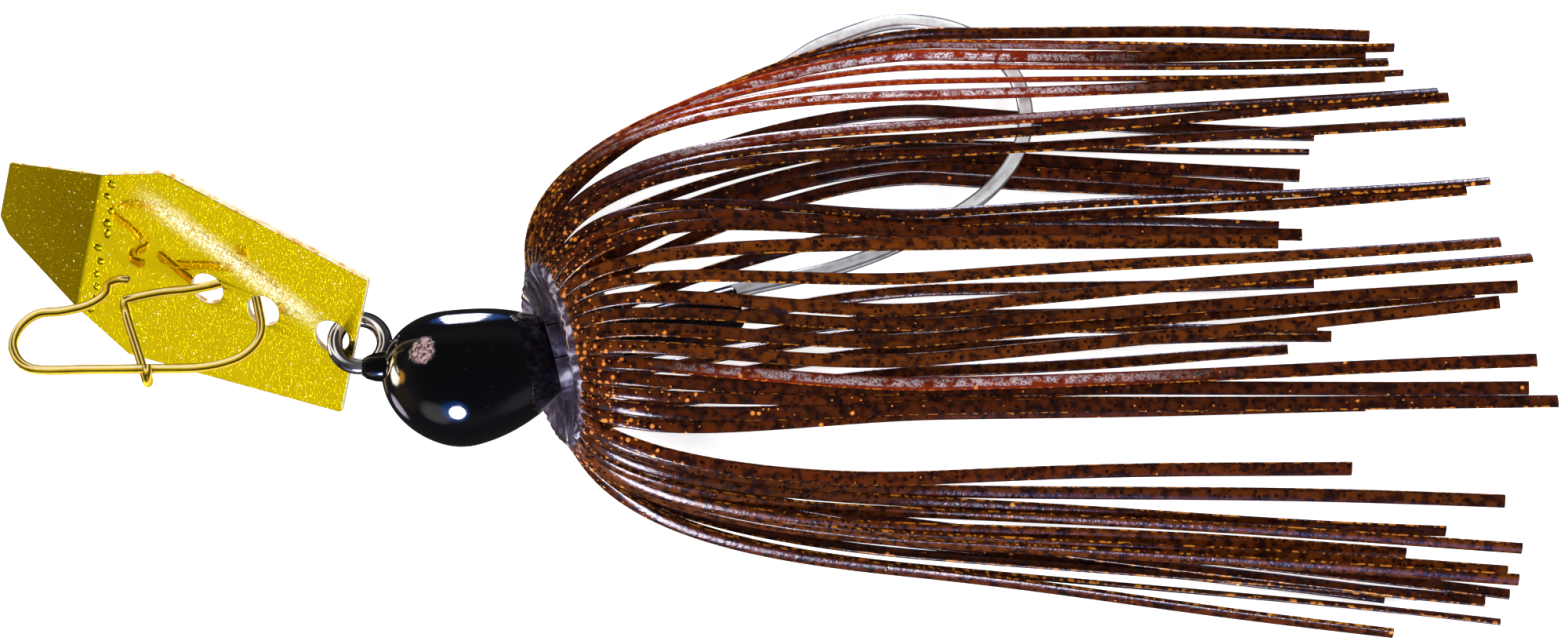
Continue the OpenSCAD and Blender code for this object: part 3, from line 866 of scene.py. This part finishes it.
def drawn_out(p):
    """A point of the ball, moved out towards the nose as far as it faces the nose's direction."""
    c = max(0, p.normalized().dot(NOSE_DIR))
    return p / math.sqrt(1 - c * c + (c * BALL_R / NOSE_LEN) ** 2)


def head_profile():
    """The casting's outline as (radius, distance along its axis)."""
    front = [(BALL_R * math.cos(a), BALL_R * math.sin(a))
             for a in (math.radians(-90 + 90 * i / 30) for i in range(1, 31))]
    back = [(BALL_R - (BALL_R - BACK_R) * f * f, BACK_T * f) for f in (i / 16 for i in range(1, 17))]
    seat = [(BACK_R - 0.25, BACK_T + 0.08), (SEAT_R + 0.1, BACK_T + 0.1), (SEAT_R, BACK_T + 0.3),
            (SEAT_R, SEAT_END)]
    ridge = [(SEAT_R + 0.5, SEAT_END + 0.2), (SEAT_R + 0.3, SEAT_END + 0.8), (KEEPER_R, SEAT_END + 1.4)]
    keeper = [(KEEPER_R, SEAT_END + 2), (KEEPER_R, KEEPER_END - 0.3), (KEEPER_R - 0.3, KEEPER_END)]
    return front + back + seat + ridge + keeper


def make_head():
    shape = Shape()
    turns = [2 * math.pi * k / HEAD_SIDES for k in range(HEAD_SIDES)]
    shape.rings([[shape.point(drawn_out(round_axis(radius, a, t))) for a in turns]
                 for radius, t in head_profile()])
    into_head = head_frame().inverted() @ hook_frame()
    add_tube(shape, [into_head @ Vector(p) for p in COLLAR], COLLAR_RADII, 28)
    chip = (hook_frame().translation + CHIP_AT) * MM
    piece = shape.object("head_casting", [black_paint(chip)], head_frame(), 45)
    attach(piece, "lure_body")
    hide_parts("head")


# ---------------------------------------------------------------- the skirt

# Each tab: turn round the axis from the hook's side, how far its strands bow out, and their heights
# above the table at the waist and at the tips. Then how far across they lie at the waist, and their
# tips as seen from above
TABS = [
    (0, 13.5, 5.6, 2.6, (29.2, 28.4, 27.4, 26.3, 25.1, 24),
     [(76.6, 28.9), (78.7, 28), (76.3, 27.3), (78.2, 26.8), (79.5, 26.1), (77.9, 25.5)]),
    (45, 10, 9.8, 4.4, (21.5, 20.4, 19.2, 13.9, 13.1, 12.2),
     [(82.3, 24.2), (83.2, 23.6), (84.6, 21.7), (86.7, 17), (84.7, 15.9), (70.8, 12.2)]),
    (90, 7, 12.6, 5.6, (11.2, 8.4, 5.9, 4.6, 3.4, 1.8),
     [(68.7, 11.5), (87.5, 11.7), (90.2, 10.5), (88.9, 7.8), (85.3, 7.3), (87.4, 6.3)]),
    (135, 7, 10.6, 4.2, (-0.2, -1, -1.8, -2.4, -3, -8.4),
     [(90.7, 1.3), (90, -0.6), (87.4, -1.7), (92.5, -2), (76.2, -2.3), (75, -7.4)]),
    (180, 6, 7.4, 2.8, (-9.3, -10.3, -11.4, -12.7, -13.4, -14),
     [(88.1, -10.6), (83.1, -13.1), (89.5, -14.3), (79.7, -14.8), (88.3, -16.2), (89.2, -17)]),
    (225, 9, 3, 0.9, (-16.8, -16.1, -14.9, -14.1, -13.2, -12.6),
     [(78.7, -21.4), (87.8, -20.8), (86.5, -18.9), (78, -18.6), (80.7, -18.4), (88.6, -18.1)]),
    (270, 6, 0.9, 0.3, (-1.4, 0.8, 2.6, 4.2, 5.4, 7.4),
     [(74.5, -0.7), (69.8, 2.2), (73.5, 3.5), (72.3, 4), (70, 5.6), (72, 8.2)]),
    (315, 12, 1.3, 0.8, (12.9, 17, 18, 18.7, 19.9, 22.7),
     [(69, 13.1), (68.5, 15.2), (69.4, 16.2), (70.8, 17.2), (71.6, 19), (72, 20.6)]),
]
STRANDS = 6
# How strongly the strands carry the painted red glow and glitter highlight, by the numbers of the tab,
# from 1, and of the strand, from 0
PAINTED_SHEEN = {(1, 1): 0.35, (1, 2): 1.0, (1, 3): 1.0, (1, 4): 1.0, (1, 5): 0.8, (2, 0): 0.3, (4, 0): 0.5}
TAB_SPAN = 360 / len(TABS)
# The web's rim: its place on the head's axis, its radius and how far it leans (degrees)
RIM_T = 8.2
RIM_R = 7.6
RIM_LEAN = 9
# How far the bow is swept to the tail at the lure's two sides, as a share of the bow
SWEEP_BACK = 0.6
# The waist, where a strand's bow ends, and how far before it the strand has turned towards its tip
WAIST_X = 40
LEAD = 11
STRAND_W = 1.1
STRAND_T = 0.5
BOW_STEPS = 34
TAIL_STEPS = 26
# The lowest that a strand's middle line and its surface may lie above the table
LOWEST_Z = 0.35
SURFACE_Z = 0.02
# How far a strand turns from the rim's direction (0) to level (1), and over what share of its length
LEVELLING = 0.42
LEVEL_BY = 0.3
# A strand whose outward direction is lower than this levels its outer face downward
DOWN_BELOW = -0.3
# How much the strands vary: roll and twist (degrees), and the range of their widths
ROLL = 13
TWIST = 42
WIDTHS = (0.86, 1.1)
# How far inside the rim and ahead of its middle a strand is rooted
ROOT_IN = 0.2
ROOT_AHEAD = 0.1
# One side of a strand's section, as shares of its half width and half thickness
SECTION = [(-1, 0.3), (-0.9, 0.62), (-0.7, 0.82), (-0.35, 0.95), (0, 1), (0.35, 0.95), (0.7, 0.82),
           (0.9, 0.62), (1, 0.3)]


def rim_frame():
    """The flared web's own leaning axis, with 0 at the rim's middle."""
    return (head_frame() @ Matrix.Translation((0, 0, RIM_T))
            @ Matrix.Rotation(math.radians(RIM_LEAN), 4, "Y"))


def rim_out(turn):
    """The outward direction in the rim, turn degrees round from the bend's side."""
    return rim_frame().to_3x3() @ round_axis(1, math.radians(90 + turn), 0)


# The height and rate of a strand's slow and quick waves, sideways and then up and down
WAVES = [(0.35, 6), (0.14, 13), (0.7, 5), (0.3, 11)]


def strand_path(tab, s, rng):
    """The middle line of one strand, and the direction in which it leaves the rim."""
    turn, bow, waist_z, tip_z, waists, tips = tab
    turn += (s - (STRANDS - 1) / 2) * TAB_SPAN / STRANDS
    axis = head_frame().to_3x3() @ Z_UP
    shift = head_frame().translation.copy()
    shift.z = 0
    tip = Vector((*tips[s], tip_z)) + shift
    waist = Vector((WAIST_X, waists[s], waist_z)) + shift
    outward = rim_out(turn)
    root = rim_frame().translation + (RIM_R - ROOT_IN) * outward - ROOT_AHEAD * axis
    out = root + bow * outward + SWEEP_BACK * bow * abs(math.sin(math.radians(turn))) * axis
    lead = waist - LEAD / (tip.x - waist.x) * (tip - waist)
    path = [bezier(root, out, lead, waist, (i / BOW_STEPS) ** 1.3) for i in range(BOW_STEPS)]
    path += [waist.lerp(tip, i / TAIL_STEPS) for i in range(TAIL_STEPS + 1)]
    phases = [rng.uniform(0, 2 * math.pi) for _ in range(4)]
    sizes = [rng.uniform(0.3, 1.0) for _ in range(4)]
    last = len(path) - 1
    for i, p in enumerate(path):
        f = i / last
        ease = min(1, 4 * f) * f
        waves = [size * height * math.sin(rate * f + phase)
                 for size, phase, (height, rate) in zip(sizes, phases, WAVES)]
        p.y += ease * (waves[0] + waves[1])
        p.z += ease * (waves[2] + waves[3])
        p.z = max(p.z, LOWEST_Z)
    return path, outward


def add_strand(shape, path, outward, sheen, rng):
    """A flat crowned strand with a square-cut tip, which keeps part of its turn at the rim."""
    number = rng.random()
    roll = math.radians(rng.gauss(0, ROLL))
    twist = math.radians(rng.gauss(0, TWIST))
    width = STRAND_W * rng.uniform(*WIDTHS)
    flat = Z_UP if outward.z > DOWN_BELOW else -Z_UP
    rings = []
    last = len(path) - 1
    section = SECTION + [(x, -y) for x, y in reversed(SECTION)]
    for i, (p, t) in enumerate(zip(path, tangents(path))):
        f = i / last
        ease = min(1, f / LEVEL_BY)
        ease = ease * ease * (3 - 2 * ease)
        side = t.cross(outward.lerp(flat, LEVELLING * ease)).normalized()
        side = Matrix.Rotation(ease * (roll + twist * (f - 0.4)), 3, t) @ side
        up = side.cross(t)
        ring = []
        for x, y in section:
            q = p + x * width / 2 * side + y * STRAND_T / 2 * up
            q.z = max(q.z, SURFACE_Z)
            ring.append(shape.point(q, strand=number, across=abs(x), along=f, sheen=sheen))
        rings.append(ring)
    shape.rings(rings)


# The web's section as (radius, distance along the rim's axis)
FLARE = [(3.45, 0.15), (4.6, -0.05), (5.9, -0.3), (7.0, -0.5), (7.5, -0.6), (7.85, -0.35), (7.98, 0.05),
         (7.8, 0.45), (7.0, 0.6), (5.8, 0.8), (3.45, 1.1)]
WEB_STEPS = 14
# The radius past which the web is ribbed and wavy, the width of that ring, and the heights of the
# ribs and of the waves
WAVY_FROM = 5.5
WAVY_WIDTH = 2.4
RIB = 0.12
WAVE = 0.5
# The gaps between two tabs' webs and between their sleeves (degrees)
WEB_GAP = 0.012
SLEEVE_GAP = 2
SLEEVE_STEPS = 8


def add_web(shape, middle):
    """One tab's share of the flared web, with soft ribs where the strands begin."""
    outline = smooth([(r, t, 0) for r, t in FLARE], 3)
    rings = []
    span = TAB_SPAN - WEB_GAP
    for j in range(WEB_STEPS + 1):
        turn = middle + span * (j / WEB_STEPS - 0.5)
        a = math.radians(90 + turn)
        ring = []
        for r, t, _ in outline:
            lift = max(0, (r - WAVY_FROM) / WAVY_WIDTH)
            wave = RIB * lift * math.cos(math.radians(turn) * STRANDS * len(TABS))
            wave += WAVE * lift * noise.noise(round_axis(1.9, a, r * 0.3))
            p = rim_frame() @ round_axis(r + 0.5 * wave, a, t + wave)
            ring.append(shape.point(p, strand=0.5, edge=lift))
        rings.append(ring)
    shape.rings(rings, slot=1)


def add_sleeve(shape, middle):
    """The part of the tab that the band holds on the seat."""
    outline = [(SEAT_R + 0.1, BACK_T + 0.15), (SEAT_R + 0.9, BACK_T + 0.15),
               (SEAT_R + 0.8, SEAT_END - 0.1), (SEAT_R + 0.1, SEAT_END - 0.1)]
    rings = []
    for j in range(SLEEVE_STEPS + 1):
        a = math.radians(90 + middle + (TAB_SPAN - SLEEVE_GAP) * (j / SLEEVE_STEPS - 0.5))
        rings.append([shape.point(head_frame() @ round_axis(r, a, t), strand=0.5) for r, t in outline])
    shape.rings(rings, slot=1)


def make_skirt():
    web = web_silicone()
    pumpkin = silicone("skirt_pumpkin", (0.158, 0.035, 0.003), (0.018, 0.005, 0.003),
                       (0.9, 0.17, 0.01), 0.045, 0.40)
    brown = silicone("skirt_brown", (0.104, 0.019, 0.003), (0.012, 0.004, 0.003),
                     (0.9, 0.18, 0.015), 0.10, 0.30)
    rng = random.Random(11)
    for k, tab in enumerate(TABS, 1):
        shape = Shape()
        for s in range(STRANDS):
            path, outward = strand_path(tab, s, rng)
            add_strand(shape, path, outward, PAINTED_SHEEN.get((k, s), 0.0), rng)
        add_web(shape, tab[0])
        add_sleeve(shape, tab[0])
        odd = k % 2 == 1
        piece = shape.object(f"skirt_tab_{k}_silicone", [pumpkin if odd else brown, web], None, 50)
        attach(piece, "lure_body")
        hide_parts(f"skirt_tab_{k}")


# The band: its section's middle, half thickness and half width, and its steps round and across
BAND_R = SEAT_R + 1.35
BAND_T = 12.65
BAND_HALF = (0.45, 0.68)
BAND_STEPS = (48, 12)


def make_band():
    shape = Shape()
    rings = []
    for j in range(BAND_STEPS[0]):
        a = 2 * math.pi * j / BAND_STEPS[0]
        ring = []
        for k in range(BAND_STEPS[1]):
            b = 2 * math.pi * k / BAND_STEPS[1]
            r = BAND_R + BAND_HALF[0] * math.cos(b)
            ring.append(shape.point(round_axis(r, a, BAND_T + BAND_HALF[1] * math.sin(b))))
        rings.append(ring)
    shape.rings(rings, loop=True)
    piece = shape.object("skirt_band_ring", [band_rubber()], head_frame())
    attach(piece, "lure_body")
    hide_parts("skirt_band")


make_camera()
make_floor()
make_lights()
make_sky()
make_blade()
make_snap()
make_hook()
make_head()
make_skirt()
make_band()
